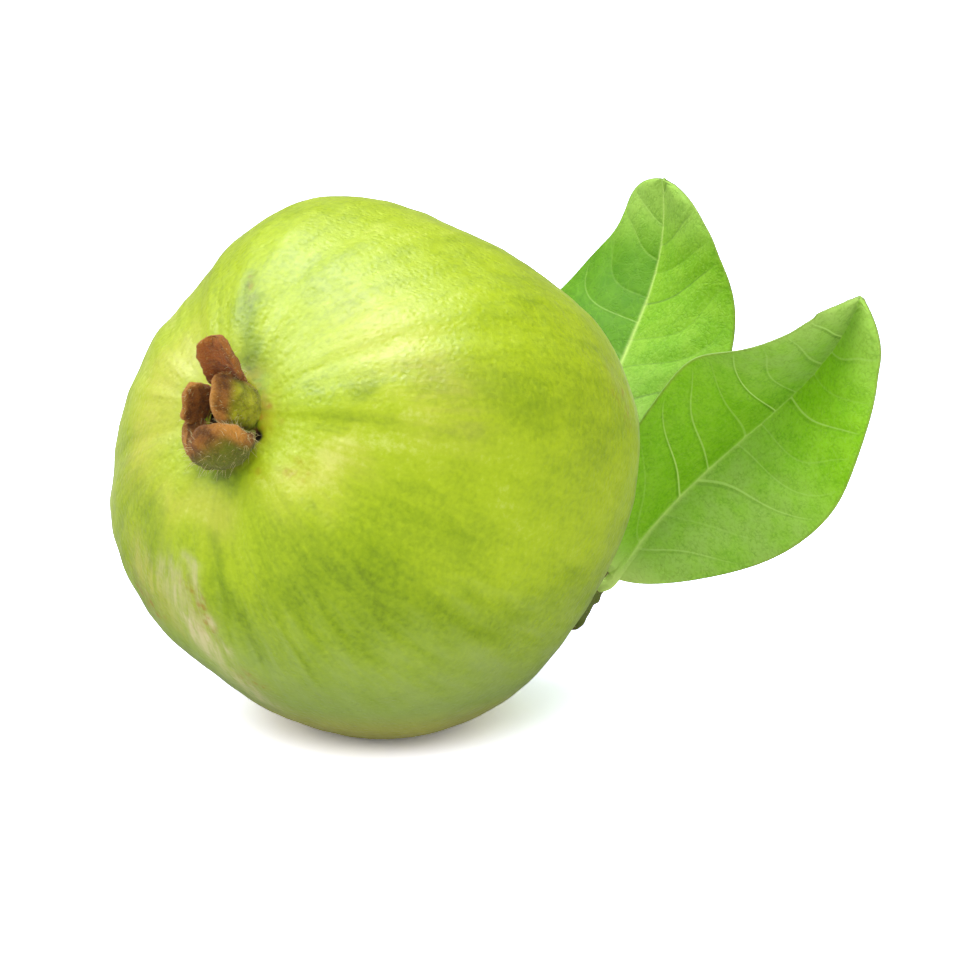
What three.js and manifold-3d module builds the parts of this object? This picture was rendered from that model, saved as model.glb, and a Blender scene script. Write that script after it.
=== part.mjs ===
// One whole guava as picked, lying on a small flat spot: the fruit, its dried calyx, and the short end
// of twig that carries the fruit's stalk and two opposite leaves.
// Millimetres, +Z up. The origin is the middle of the flat spot, under the fruit's centre. The calyx
// end faces -Y and is raised a little; the stalk end, the twig and the leaves are on the +Y side.
import * as THREE from "three";
import { mergeVertices } from "three/addons/utils/BufferGeometryUtils.js";
import Module from "manifold-3d";

const degrees = THREE.MathUtils.degToRad;
const vector = (x, y, z) => new THREE.Vector3(x, y, z);
const mix = THREE.MathUtils.lerp; // (from, to, share)
const blunt = (x) => Math.sign(x) * Math.abs(x) ** 0.6; // squares off a circle's sine and cosine

// ---- Driving dimensions ----

const clearance = 0.3; // all round a piece that sits in another

// The fruit is a ball of this radius, changed by the low waves below. "towards" is the angle round the
// fruit's axis at which a wave is highest, from the top towards -X.
const fruitRadius = 44.2;
const fruitCentreHeight = 43.8; // above the surface, so the lowest 1.1 mm is flat
const calyxRise = degrees(22.8); // of the calyx end, above the horizontal
const oval = -0.26; // twice round along the axis: a little shorter at the ends
const taper = -0.15; // three times round: a little fuller near the calyx
const calyxDimple = { depth: 3.4, spread: 0.32 };
const stalkDimple = { depth: 1.5, spread: 0.3 };
const lobes = [
  { count: 1, height: 0.33, towards: degrees(247) },
  { count: 2, height: 0.7, towards: degrees(169) },
  { count: 3, height: 0.3, towards: degrees(24) },
  { count: 4, height: 1.6, towards: degrees(25) },
  { count: 5, height: 0.23, towards: degrees(28) },
];
const calyxRibs = [
  { count: 3, height: 0.27, towards: degrees(13) },
  { count: 5, height: 0.87, towards: degrees(5) },
  { count: 7, height: 0.27, towards: degrees(20) },
  { count: 13, height: 0.18, towards: degrees(9) },
];
const ribsHighestAt = 0.75; // radians from the calyx pole
const fruitSegments = { round: 72, along: 44 };

// The calyx: a low fleshy cup with five dried sepals. Each sepal stands on the cup's rim at the angle
// "round". Its lean from the axis, positive outwards, turns from the first value at its root to the
// second at its tip, and so does its width. "aside" leans it along the rim, and "cupping" is how far
// its edges bend inwards, as a share of half its width.
const cup = { outerRadius: 6.2, rimRadius: 5.4, innerRadius: 3.6, rise: 1.4, sunk: 2.4, hollow: 3 };
const sepalRoot = { radius: 4.9, height: 0.95 };
const sepalThickness = { root: 2.2, tip: 1.2 };
const sepals = [
  { round: 8, length: 11.2, width: [6, 6], lean: [15, 37], aside: -13, cupping: 0.35 },
  { round: 72, length: 5.4, width: [5, 6.8], lean: [-2, 22], aside: 18, cupping: 0.1 },
  { round: 134, length: 4, width: [8.6, 9.4], lean: [56, 18], aside: -32, cupping: 0.05 },
  { round: 213, length: 13.2, width: [8.2, 9.8], lean: [86, -104], aside: -7, cupping: 0.4 },
  { round: 291, length: 8.4, width: [7.6, 8.8], lean: [8, -56], aside: 9, cupping: 0.4 },
];

// The twig and the stalk. Both leaves and the stalk meet the twig at its node.
const node = { at: vector(10.4, 52.8, 12.2), radius: 3, swelling: 2.2 };
const twig = { direction: vector(-0.25, 0.88, 0.4).normalize(), before: 9, after: 10, radius: 2.3 };
const stalk = { radius: 1.55, flare: 0.75, inFruit: 3 };
const petioleInTwig = 1.3;

// The leaves. The midrib's four points make a Bezier curve from the base of the blade to its tip.
// "roll" turns the blade about its midrib, and the two folds raise its left and right halves; each has
// a value at the base and one at the tip. "fullness" shapes the outline towards base and tip, and
// "blunt" widens its last tenth.
const leafFacing = vector(0.536, -0.813, 0.225); // the way that both upper faces look
const bladeThickness = 0.7;
const petioleRadius = 1.15;
const socketRadius = 2.1; // of the hole in the twig for a petiole, with room for its bend
const leaves = {
  leaf_upper: {
    midrib: [
      vector(8.4, 55, 20.5),
      vector(2.6, 63.4, 52.2),
      vector(9.2, 88.1, 58.5),
      vector(8.4, 83, 85.6),
    ],
    halfWidth: 22.8,
    fullness: { base: 0.51, tip: 0.47 },
    blunt: 0.15,
    roll: [0.3, 0.87],
    leftFold: [0.3, -0.25],
    rightFold: [-0.16, 0.32],
    leavesTwig: vector(-0.85, -0.2, 0.48).normalize(),
    wave: { height: 0.4, count: 2.5, start: 0.4 },
  },
  leaf_side: {
    midrib: [
      vector(15.4, 54.1, 15.2),
      vector(28, 67, 41.2),
      vector(45.4, 76.8, 46.4),
      vector(59.6, 63.1, 70),
    ],
    halfWidth: 22.9,
    fullness: { base: 0.61, tip: 0.63 },
    blunt: 0.3,
    roll: [-0.17, -0.05],
    leftFold: [0.62, 0.6],
    rightFold: [0.21, 0.97],
    leavesTwig: vector(0.9, 0, 0.4).normalize(),
    wave: { height: 0.4, count: 2.5, start: 2 },
  },
};
const petioleRows = 6;
const bladeRows = 28;
const halfColumns = 6;

// ---- Closed skins and solids ----

const wasm = await Module();
wasm.setup();

// A closed geometry as a manifold-3d solid: only positions are left, and shared points are merged.
function toSolid(geometry) {
  const bare = geometry.clone();
  bare.deleteAttribute("normal");
  bare.deleteAttribute("uv");
  const merged = mergeVertices(bare, 1e-4);
  return new wasm.Manifold(
    new wasm.Mesh({
      numProp: 3,
      vertProperties: merged.attributes.position.array,
      triVerts: merged.index.array,
    }),
  );
}

function toGeometry(solid) {
  const mesh = solid.getMesh();
  const positions = new Float32Array(mesh.vertProperties);
  const geometry = new THREE.BufferGeometry();
  geometry.setAttribute("position", new THREE.BufferAttribute(positions, 3));
  geometry.setIndex(new THREE.BufferAttribute(mesh.triVerts, 1));
  geometry.computeVertexNormals();
  return geometry;
}

// A closed skin through rings of points. All rings have the same count of points, which turn
// right-handed about the way from the near end to the far one, and each end is a fan to its apex.
// The second half of a ring mirrors the first half's triangles, so a blade's two faces stay alike.
function loft(rings, nearApex, farApex) {
  const count = rings[0].length;
  const points = [...rings.flat(), nearApex, farApex];
  const near = points.length - 2;
  const far = points.length - 1;
  const last = (rings.length - 1) * count;
  const index = [];
  for (let j = 0; j < count; j++) {
    const next = (j + 1) % count;
    for (let row = 0; row < last; row += count) {
      const [a, b, c, d] = [row + j, row + next, row + count + j, row + count + next];
      if (j < count / 2) index.push(a, b, d, a, d, c);
      else index.push(a, b, c, b, d, c);
    }
    index.push(near, next, j, far, last + j, last + next);
  }
  const geometry = new THREE.BufferGeometry().setFromPoints(points).setIndex(index);
  geometry.computeVertexNormals();
  return geometry;
}

// A round bar along a curve, with its radius as a function of the share of the way along it.
function roundBar(curve, radiusAt, steps, sides) {
  const { normals, binormals } = curve.computeFrenetFrames(steps);
  const rings = normals.map((normal, i) => {
    const centre = curve.getPointAt(i / steps);
    const radius = radiusAt(i / steps);
    return Array.from({ length: sides }, (_, j) => {
      const angle = (2 * Math.PI * j) / sides;
      return centre
        .clone()
        .addScaledVector(normal, radius * Math.cos(angle))
        .addScaledVector(binormals[i], radius * Math.sin(angle));
    });
  });
  return loft(rings, curve.getPointAt(0), curve.getPointAt(1));
}

// A straight round pin from a point along a direction, used to cut a socket.
function pin(from, direction, length, radius, sides) {
  const geometry = new THREE.CylinderGeometry(radius, radius, length, sides);
  geometry.translate(0, length / 2, 0);
  geometry.applyQuaternion(new THREE.Quaternion().setFromUnitVectors(vector(0, 1, 0), direction));
  return geometry.translate(from.x, from.y, from.z);
}

// ---- Fruit ----

// The group's +Y points out of the calyx end, and -Z is the top of the fruit, turned with it.
const fruitGroup = new THREE.Group();
fruitGroup.name = "guava_on_its_side";
fruitGroup.position.set(0, 0, fruitCentreHeight);
fruitGroup.rotation.x = Math.PI - calyxRise;
fruitGroup.updateMatrixWorld(true);
const toFruitFrame = fruitGroup.matrixWorld.clone().invert();
const stalkWay = vector(0, Math.cos(calyxRise), -Math.sin(calyxRise)); // out of the stalk end

// How far the skin is from the centre: "fromCalyx" is the angle from the calyx pole, and "round" the
// angle round the axis. Lobes vanish at both poles; ribs rise from nothing at the calyx pole to their
// full height at ribsHighestAt, and then fade.
function skinRadius(fromCalyx, round) {
  const side = Math.sin(fromCalyx);
  const ribShare = (fromCalyx / ribsHighestAt) ** 2;
  const ribFade = ribShare * Math.exp(1 - ribShare);
  let radius = fruitRadius + oval * Math.cos(2 * fromCalyx) + taper * Math.cos(3 * fromCalyx);
  radius -= calyxDimple.depth * Math.exp(-((fromCalyx / calyxDimple.spread) ** 2));
  radius -= stalkDimple.depth * Math.exp(-(((Math.PI - fromCalyx) / stalkDimple.spread) ** 2));
  for (const { count, height, towards } of lobes)
    radius += height * side ** Math.min(count, 2) * Math.cos(count * (round - towards));
  for (const { count, height, towards } of calyxRibs)
    radius += height * ribFade * Math.cos(count * (round - towards));
  return radius;
}
const calyxPole = skinRadius(0, 0);
const stalkPole = skinRadius(Math.PI, 0);

function makeFruit() {
  const skin = new THREE.SphereGeometry(1, fruitSegments.round, fruitSegments.along);
  const position = skin.attributes.position;
  const point = new THREE.Vector3();
  for (let i = 0; i < position.count; i++) {
    point.fromBufferAttribute(position, i);
    const fromCalyx = Math.acos(THREE.MathUtils.clamp(point.y, -1, 1));
    point.multiplyScalar(skinRadius(fromCalyx, Math.atan2(-point.x, -point.z)));
    position.setXYZ(i, point.x, point.y, point.z);
  }
  const surface = new THREE.BoxGeometry(120, 120, 20).translate(0, 0, -10);
  surface.applyMatrix4(toFruitFrame);
  const socketFloor = vector(0, calyxPole - cup.sunk - clearance, 0);
  const calyxSocket = pin(socketFloor, vector(0, 1, 0), 10, cup.outerRadius + clearance, 32);
  const holeFloor = vector(0, stalk.inFruit - stalkPole, 0);
  const holeRadius = stalk.radius + stalk.flare + clearance;
  const stalkHole = pin(holeFloor, vector(0, -1, 0), 10, holeRadius, 20);
  let solid = toSolid(skin);
  for (const cut of [surface, calyxSocket, stalkHole]) solid = solid.subtract(toSolid(cut));
  return toGeometry(solid);
}

// ---- Calyx ----

// One sepal on the top side of the cup: a thick strap with rounded corners. Its middle line is an arc
// that turns through the lean, and across it the strap is cupped towards the axis.
function makeSepal(sepal) {
  const steps = 8;
  const sides = 12;
  const aside = degrees(sepal.aside);
  const middle = vector(0, sepalRoot.height, -sepalRoot.radius);
  const root = middle.clone();
  const rings = [];
  for (let i = 0; i <= steps; i++) {
    const along = i / steps;
    const lean = degrees(mix(...sepal.lean, along));
    const inPlane = vector(0, Math.cos(lean), -Math.sin(lean)).multiplyScalar(Math.cos(aside));
    const way = vector(-Math.sin(aside), 0, 0).add(inPlane);
    const outwards = vector(0, -Math.sin(lean), -Math.cos(lean));
    const across = outwards.clone().cross(way);
    if (i) middle.addScaledVector(way, sepal.length / steps);
    const halfWidth = (mix(...sepal.width, along) / 2) * (1 - 0.2 * along ** 8);
    const halfThick = mix(sepalThickness.root, sepalThickness.tip, along) / 2;
    rings.push(
      Array.from({ length: sides }, (_, j) => {
        const turn = (2 * Math.PI * (j + 0.5)) / sides;
        const x = halfWidth * blunt(Math.cos(turn));
        const out = halfThick * blunt(Math.sin(turn)) - (sepal.cupping * x * x) / halfWidth;
        return middle.clone().addScaledVector(across, x).addScaledVector(outwards, out);
      }),
    );
  }
  return loft(rings, root, middle);
}

function makeCalyx() {
  const rings = [
    [0, -cup.sunk],
    [cup.outerRadius, -cup.sunk],
    [cup.outerRadius, 0],
    [cup.rimRadius, cup.rise],
    [cup.innerRadius, cup.rise],
    [cup.innerRadius - 0.8, cup.rise - cup.hollow],
    [0, cup.rise - cup.hollow - 0.2],
  ];
  const profile = rings.map(([radius, height]) => new THREE.Vector2(radius, height));
  let solid = toSolid(new THREE.LatheGeometry(profile, 32));
  for (const sepal of sepals) {
    solid = solid.add(toSolid(makeSepal(sepal).rotateY(degrees(sepal.round))));
  }
  // The sepals close a small pocket between them. The outer skin alone is kept, which fills it.
  const [outerSkin] = solid.decompose().sort((a, b) => b.volume() - a.volume());
  return toGeometry(outerSkin);
}

// ---- Stem: stalk and twig ----

function makeStem() {
  const twigLine = new THREE.CatmullRomCurve3([
    node.at.clone().addScaledVector(twig.direction, -twig.before).add(vector(-0.8, 0, -0.4)),
    node.at,
    node.at.clone().addScaledVector(twig.direction, twig.after).add(vector(0.6, 0, 0.5)),
  ]);
  const twigRadius = (share) => {
    const fromNode = share * (twig.before + twig.after) - twig.before;
    return mix(twig.radius, node.radius, Math.exp(-((fromNode / node.swelling) ** 2)));
  };
  const centre = vector(0, 0, fruitCentreHeight);
  const foot = centre.addScaledVector(stalkWay, stalkPole - stalk.inFruit + clearance);
  const stalkLine = new THREE.CubicBezierCurve3(
    foot,
    foot.clone().addScaledVector(stalkWay, 10),
    node.at.clone().add(vector(-3, -8, -0.5)),
    node.at,
  );
  const stalkRadius = (share) => stalk.radius + stalk.flare * (2 * share - 1) ** 4;
  let solid = toSolid(roundBar(twigLine, twigRadius, 16, 16));
  solid = solid.add(toSolid(roundBar(stalkLine, stalkRadius, 18, 14)));
  for (const { leavesTwig } of Object.values(leaves)) {
    const depth = petioleInTwig + clearance;
    const floor = node.at.clone().addScaledVector(leavesTwig, node.radius - depth);
    solid = solid.subtract(toSolid(pin(floor, leavesTwig, 8, socketRadius, 16)));
  }
  return toGeometry(solid);
}

// ---- Leaves ----

// The points of one section through a leaf, at a place on its middle line: the upper face from left to
// right, then the lower face back. The blade's half width is its outline's or the rib's, whichever
// leads. The rib is half round under the blade, and round all over in the petiole.
function leafSection(leaf, centre, tangent, along, petioleShare) {
  const { base, tip } = leaf.fullness;
  const widest = base / (base + tip);
  const blunter = 1 + leaf.blunt * THREE.MathUtils.smoothstep(along, 0.9, 1);
  const outline = (along / widest) ** base * ((1 - along) / (1 - widest)) ** tip * blunter;
  const rib = petioleRadius * (1 - 0.78 * along);
  const halfWidth = Math.hypot(leaf.halfWidth * outline, rib);
  const normal = leafFacing.clone().addScaledVector(tangent, -leafFacing.dot(tangent)).normalize();
  const roll = mix(...leaf.roll, along);
  const level = tangent.clone().cross(normal);
  const right = level.multiplyScalar(Math.cos(roll)).addScaledVector(normal, Math.sin(roll));
  const up = right.clone().cross(tangent);
  const spread = THREE.MathUtils.clamp((halfWidth - rib) / (3 * rib), 0, 1);
  const ripple = Math.sin(2 * Math.PI * leaf.wave.count * along + leaf.wave.start);
  const upper = [];
  const lower = [];
  for (let column = -halfColumns; column <= halfColumns; column++) {
    const step = Math.abs(column);
    const side = Math.sign(column);
    const bladeShare = (step - 2) / (halfColumns - 2);
    const inBlade = step < 3 ? (rib * step) / 2 : mix(rib, halfWidth, bladeShare);
    const inBar = halfWidth * Math.sin((Math.PI / 2) * (step / halfColumns));
    const offset = mix(inBar, inBlade, spread);
    const fold = side * spread * mix(...(column < 0 ? leaf.leftFold : leaf.rightFold), along);
    const way = right.clone().multiplyScalar(Math.cos(fold)).addScaledVector(up, Math.sin(fold));
    const out = up.clone().multiplyScalar(Math.cos(fold)).addScaledVector(right, -Math.sin(fold));
    const share = offset / halfWidth;
    const arch = spread * 0.05 * halfWidth * Math.sin(Math.PI * share);
    const wave = spread * leaf.wave.height * ripple * share ** 2;
    const point = centre.clone().addScaledVector(way, side * offset);
    point.addScaledVector(out, arch + wave);
    const ribHeight = Math.sqrt(Math.max(rib ** 2 - offset ** 2, 0));
    const above = bladeThickness / 2 + 0.7 * petioleShare * ribHeight;
    const below = bladeThickness / 2 + ribHeight;
    upper.push(point.clone().addScaledVector(out, above));
    lower.unshift(point.clone().addScaledVector(out, -below));
  }
  return [...upper, ...lower];
}

function makeLeaf(leaf) {
  const midrib = new THREE.CubicBezierCurve3(...leaf.midrib);
  const foot = node.at.clone().addScaledVector(leaf.leavesTwig, node.radius - petioleInTwig);
  const reach = foot.distanceTo(leaf.midrib[0]) * 0.55;
  const petiole = new THREE.CubicBezierCurve3(
    foot,
    foot.clone().addScaledVector(leaf.leavesTwig, reach),
    leaf.midrib[0].clone().addScaledVector(midrib.getTangent(0), -reach),
    leaf.midrib[0],
  );
  const rings = [];
  for (let i = 0; i < petioleRows; i++) {
    const share = i / petioleRows;
    const centre = petiole.getPoint(share);
    rings.push(leafSection(leaf, centre, petiole.getTangent(share), 0, 1));
  }
  for (let i = 0; i <= bladeRows; i++) {
    const along = (1 - Math.cos((Math.PI * i) / bladeRows)) / 2;
    const centre = midrib.getPoint(along);
    const petioleShare = Math.max(1 - 8 * along, 0);
    rings.push(leafSection(leaf, centre, midrib.getTangent(along), along, petioleShare));
  }
  const beyondTip = midrib.getPoint(1).addScaledVector(midrib.getTangent(1), 0.5);
  return loft(rings, foot, beyondTip);
}

// ---- Assembly ----

const materials = {
  skin: new THREE.MeshStandardMaterial({ color: 0xa9cf3c, roughness: 0.42, metalness: 0 }),
  driedSepal: new THREE.MeshStandardMaterial({ color: 0x8a5230, roughness: 0.9, metalness: 0 }),
  bark: new THREE.MeshStandardMaterial({ color: 0x7d7a4a, roughness: 0.8, metalness: 0 }),
  blade: new THREE.MeshStandardMaterial({ color: 0x5fa02f, roughness: 0.5, metalness: 0 }),
};

function piece(name, geometry, material) {
  const mesh = new THREE.Mesh(geometry, material);
  mesh.name = name;
  return mesh;
}

const calyxGroup = new THREE.Group();
calyxGroup.position.set(0, calyxPole, 0);
calyxGroup.add(piece("calyx", makeCalyx(), materials.driedSepal));
fruitGroup.add(piece("fruit", makeFruit(), materials.skin), calyxGroup);

const sprig = new THREE.Group();
sprig.add(piece("stem", makeStem(), materials.bark));
for (const [name, leaf] of Object.entries(leaves)) {
  sprig.add(piece(name, makeLeaf(leaf), materials.blade));
}

const guava = new THREE.Group();
guava.add(fruitGroup, sprig);

export default guava;
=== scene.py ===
# One whole guava as picked, lying on a small flat spot: the fruit, its dried calyx, and the short end of
# twig that carries the fruit's stalk and two opposite leaves. Metres, +Z up, origin in the flat spot.
import math

import bpy
import numpy as np
from mathutils import Matrix


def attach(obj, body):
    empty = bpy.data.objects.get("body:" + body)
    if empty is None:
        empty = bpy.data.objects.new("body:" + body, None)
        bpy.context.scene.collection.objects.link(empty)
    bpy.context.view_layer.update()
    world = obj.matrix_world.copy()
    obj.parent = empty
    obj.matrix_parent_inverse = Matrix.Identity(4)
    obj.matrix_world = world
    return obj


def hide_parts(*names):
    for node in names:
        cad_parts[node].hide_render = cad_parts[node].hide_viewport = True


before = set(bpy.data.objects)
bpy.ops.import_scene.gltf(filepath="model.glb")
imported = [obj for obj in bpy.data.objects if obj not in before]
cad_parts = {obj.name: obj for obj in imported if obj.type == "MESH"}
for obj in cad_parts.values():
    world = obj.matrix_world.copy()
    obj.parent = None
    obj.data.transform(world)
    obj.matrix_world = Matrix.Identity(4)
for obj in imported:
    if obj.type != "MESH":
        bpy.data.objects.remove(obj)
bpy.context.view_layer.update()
mm = 0.001

# ---- The fruit ----
# A guava's fruit grows in one piece. Its skin is thin and waxy, pale yellow-green with darker streaks that
# run from the calyx end to the stalk, and low ribs round the calyx. It lies on its side on a flat spot.
fruit_radius = 44.2 * mm
fruit_centre = np.array([0, 0, 43.8 * mm])
calyx_rise = math.radians(22.8)
calyx_way = np.array([0, -math.cos(calyx_rise), math.sin(calyx_rise)])
crown_way = np.array([0, math.sin(calyx_rise), math.cos(calyx_rise)])
flank_way = np.array([-1.0, 0, 0])
lobes = [  # waves round the fruit, full at its middle: count, height, degrees from the crown to the flank
    (1, 0.33 * mm, 247),
    (2, 0.7 * mm, 169),
    (3, 0.3 * mm, 24),
    (4, 1.6 * mm, 25),
    (5, 0.23 * mm, 28),
]
calyx_ribs = [  # waves round the calyx end, highest on the shoulder
    (3, 0.27 * mm, 13),
    (5, 0.87 * mm, 5),
    (7, 0.27 * mm, 20),
    (13, 0.18 * mm, 9),
    (22, 0.1 * mm, 2),
    (37, 0.05 * mm, 6),
]
ribs_highest_at = 0.75  # radians from the calyx pole
neck_radius = 5.6 * mm  # where the skin meets the calyx
neck_fillet = 1.5 * mm
socket_depth = 4 * mm  # the skin turns in under the calyx


def unit(vector):
    """The vector, or each vector of an array, at length 1."""
    return vector / np.linalg.norm(vector, axis=-1, keepdims=True)


def unevenness(points, wavelength, seed, waves=48):
    """A smooth random number at each point, about -1 to 1: the sum of cosine waves of about one
    wavelength, each running in a random direction with a random phase."""
    draw = np.random.default_rng(seed)
    ways = unit(draw.normal(size=(waves, 3)))
    ways *= 2 * math.pi / (wavelength * draw.uniform(0.7, 1.5, (waves, 1)))
    phases = draw.uniform(0, 2 * math.pi, waves)
    return np.cos(points @ ways.T + phases).sum(-1) / math.sqrt(waves)


def round_turn(count):
    """This many angles evenly round a circle, from 0."""
    return np.linspace(0, 2 * math.pi, count, endpoint=False)


def bell(value, width):
    """A bell curve, 1 at 0: e to the power of less the square of the value over the width."""
    return np.exp(-((value / width) ** 2))


def smooth_step(value, start, end):
    """0 before start and 1 after end, with a smooth rise between them: 3 t squared less 2 t cubed."""
    share = np.clip((value - start) / (end - start), 0, 1)
    return share * share * (3 - 2 * share)


def sideways(turn):
    """The unit vector square to the fruit's axis, turned round it from crown to flank."""
    return np.cos(turn)[..., None] * crown_way + np.sin(turn)[..., None] * flank_way


def fruit_direction(from_calyx, turn):
    """The unit vector at an angle from the calyx pole, turned round the axis from crown to flank."""
    return np.cos(from_calyx)[..., None] * calyx_way + np.sin(from_calyx)[..., None] * sideways(turn)


def skin_distance(from_calyx, turn):
    """How far the skin is from the fruit's centre: a ball, less a bell-shaped dimple at each pole, plus
    lobes that grow with the sine of the angle from the calyx, plus ribs that grow with its square and
    then fade."""
    side = np.sin(from_calyx)
    rib_share = (from_calyx / ribs_highest_at) ** 2
    rib_fade = rib_share * np.exp(1 - rib_share)
    distance = fruit_radius - 0.26 * mm * np.cos(2 * from_calyx) - 0.15 * mm * np.cos(3 * from_calyx)
    distance = distance - 3.4 * mm * bell(from_calyx, 0.32)
    distance = distance - 1.5 * mm * bell(math.pi - from_calyx, 0.3)
    for count, height, towards in lobes:
        distance = distance + height * side ** min(count, 2) * np.cos(count * (turn - math.radians(towards)))
    for count, height, towards in calyx_ribs:
        distance = distance + height * rib_fade * np.cos(count * (turn - math.radians(towards)))
    return distance


calyx_pole = skin_distance(0.0, 0.0)
stalk_pole = skin_distance(math.pi, 0.0)


def placed(name, data):
    """A new object in the scene, at the origin."""
    made = bpy.data.objects.new(name, data)
    bpy.context.scene.collection.objects.link(made)
    return made


def lofted_mesh(name, rings, near_apex, far_apex):
    """A closed skin of four-sided faces through rings of points, with a fan at each end. The rings' points
    turn right-handed about the way from the near end to the far one."""
    rows, columns = rings.shape[:2]
    points = np.concatenate([rings.reshape(-1, 3), [near_apex, far_apex]])
    here = np.arange(rows * columns).reshape(rows, columns)
    there = np.roll(here, -1, axis=1)
    sides = np.stack([here[:-1], there[:-1], there[1:], here[1:]], axis=-1).reshape(-1, 4)
    near = np.stack([there[0], here[0], np.full(columns, rows * columns)], axis=-1)
    far = np.stack([here[-1], there[-1], np.full(columns, rows * columns + 1)], axis=-1)
    mesh = bpy.data.meshes.new(name)
    mesh.from_pydata(points.tolist(), [], sides.tolist() + near.tolist() + far.tolist())
    mesh.shade_smooth()
    return placed(name, mesh)


def field(piece, name, values, near_value, far_value):
    """Stores one number or one vector for each point of a lofted mesh, for its material to read."""
    vector = np.ndim(values) == 3
    flat = np.concatenate([np.ravel(values), np.ravel([near_value, far_value])]).astype(np.float32)
    made = piece.data.attributes.new(name, "FLOAT_VECTOR" if vector else "FLOAT", "POINT")
    made.data.foreach_set("vector" if vector else "value", flat)


def skin_place(from_calyx_degrees, turn_degrees):
    """The place on the smooth skin at these two angles."""
    angles = np.radians([[from_calyx_degrees], [turn_degrees]])
    return fruit_centre + (fruit_direction(*angles) * skin_distance(*angles)[:, None])[0]


def brushed(strokes, points):
    """The sum of the strokes at each point: each is its strength times a bell curve, as wide as the
    stroke, of the distance from the straight line between its two places."""
    total = np.zeros(points.shape[:-1])
    for *places, width, strength in strokes:
        start = skin_place(*places[:2])
        run = skin_place(*places[2:]) - start
        share = np.clip((points - start) @ run / (run @ run), 0, 1)
        off = np.linalg.norm(points - start - share[..., None] * run, axis=-1)
        total += strength * bell(off, width * mm)
    return total


skin_rows = 236
skin_columns = 400
pole_gap = 0.004  # radians between a pole and its first ring
row_share = np.linspace(0, 1, skin_rows) ** 1.25
from_calyx, turn = np.meshgrid(
    pole_gap + (math.pi - 2 * pole_gap) * row_share,
    -round_turn(skin_columns),
    indexing="ij",
)
direction = fruit_direction(from_calyx, turn)
skin_reach = skin_distance(from_calyx, turn)
bare_skin = direction * skin_reach[..., None]
folds = [  # a ridge and the valley beside it, in millimetres out
    (26, 173, 36, 173, 1.3, 0.3), (39, 174, 53, 177, 1.3, 0.3),
    (26, 179, 35, 179, 1.5, -0.3), (37, 180, 56, 185, 1.5, -0.3),
]
calyx_pit = skin_place(8.2, 241)  # the deep notch between two sepals
from_pit = np.linalg.norm(fruit_centre + bare_skin - calyx_pit, axis=-1)
skin_reach -= 1.8 * mm * bell(from_pit, 1.2 * mm)
skin_reach += mm * brushed(folds, fruit_centre + bare_skin)
skin_reach += 0.22 * mm * unevenness(bare_skin, 17 * mm, 1) * np.sin(from_calyx)
skin_reach += 0.06 * mm * unevenness(bare_skin, 5 * mm, 2) * np.sin(from_calyx)
from_axis = skin_reach * np.sin(from_calyx)
skin_reach += 1.1 * mm * bell(np.maximum(from_axis - neck_radius, 0), neck_fillet)
skin_reach -= socket_depth * (1 - smooth_step(from_axis, 4.4 * mm, 5.3 * mm)) * (from_calyx < 1)
skin_points = fruit_centre + direction * skin_reach[..., None]
skin_points[..., 2] = np.maximum(skin_points[..., 2], 0)
calyx_floor = fruit_centre + calyx_way * calyx_pole
stalk_floor = fruit_centre - calyx_way * stalk_pole
fruit = lofted_mesh("fruit_skin", skin_points, skin_points[0].mean(0), stalk_floor)

# Soft brush strokes on the skin, each from one place to another: degrees from the calyx and degrees round
# from the crown at its start, the same at its end, its width in millimetres, and its strength.
green_and_shade_strokes = [  # darker and greener above 0, paler and yellower below
    (29, 12, 11, -10, 2.0, 1.7), (27, 8, 27, -4, 1.4, 1.0),
    # painted shade: the two strokes on this line darken the crease round the calyx's foot
    (11, -10, 9.5, -84, 1.6, 2.5), (9, -72, 9.5, -98, 1.3, 1.6),
    (18, -62, 30, -71, 2.2, 1.0), (30, -71, 45, -70, 1.8, 0.8),
    (38, -64, 55, -72, 2.5, 0.7), (25, -84, 35, -84, 2.2, 0.9),
    (66, -26, 73, -47, 5.0, 0.5), (51, -78, 85, -69, 6.0, 0.35),
    (28, -138, 42, -126, 7.0, 0.6), (36, -150, 52, -146, 7.0, 0.3),
    (40, -140, 54, -129, 6.0, 0.4), (27, 180, 36, 181, 2.0, 1.1),
    (38, 182, 57, 187, 2.0, 0.9), (35, 2, 34, -28, 7.0, 0.4),
    (34, -28, 39, -62, 7.0, 0.3), (46, 140, 60, 152, 6.0, 0.6),
    (32, 119, 30, 141, 4.0, 0.6), (30, 140, 38, 152, 5.0, 0.9),
    # painted shadow under the calyx: the second stroke on this line and the first on the next
    (34, 105, 42, 125, 5.0, 0.8), (13, 165, 14, 195, 2.5, 1.4),
    (14, -172, 11.5, -158, 1.9, 2.6), (16, -102, 27, -102, 2.5, -0.9),
    (28, -92, 38, -93, 2.5, -0.7), (18, -135, 24, -127, 2.5, -0.8),
    (33, 80, 52, 53, 7.0, -0.6), (26, 156, 24, 176, 2.5, -0.6),
    (28, -105, 26, -125, 4.0, -0.9), (36, -80, 44, -92, 5.0, -0.7),
    (36, -62, 42, -60, 4.0, -0.8), (66, -72, 80, -75, 12.0, 0.5),
    (52, -118, 66, -128, 14.0, 0.6),
]
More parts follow.
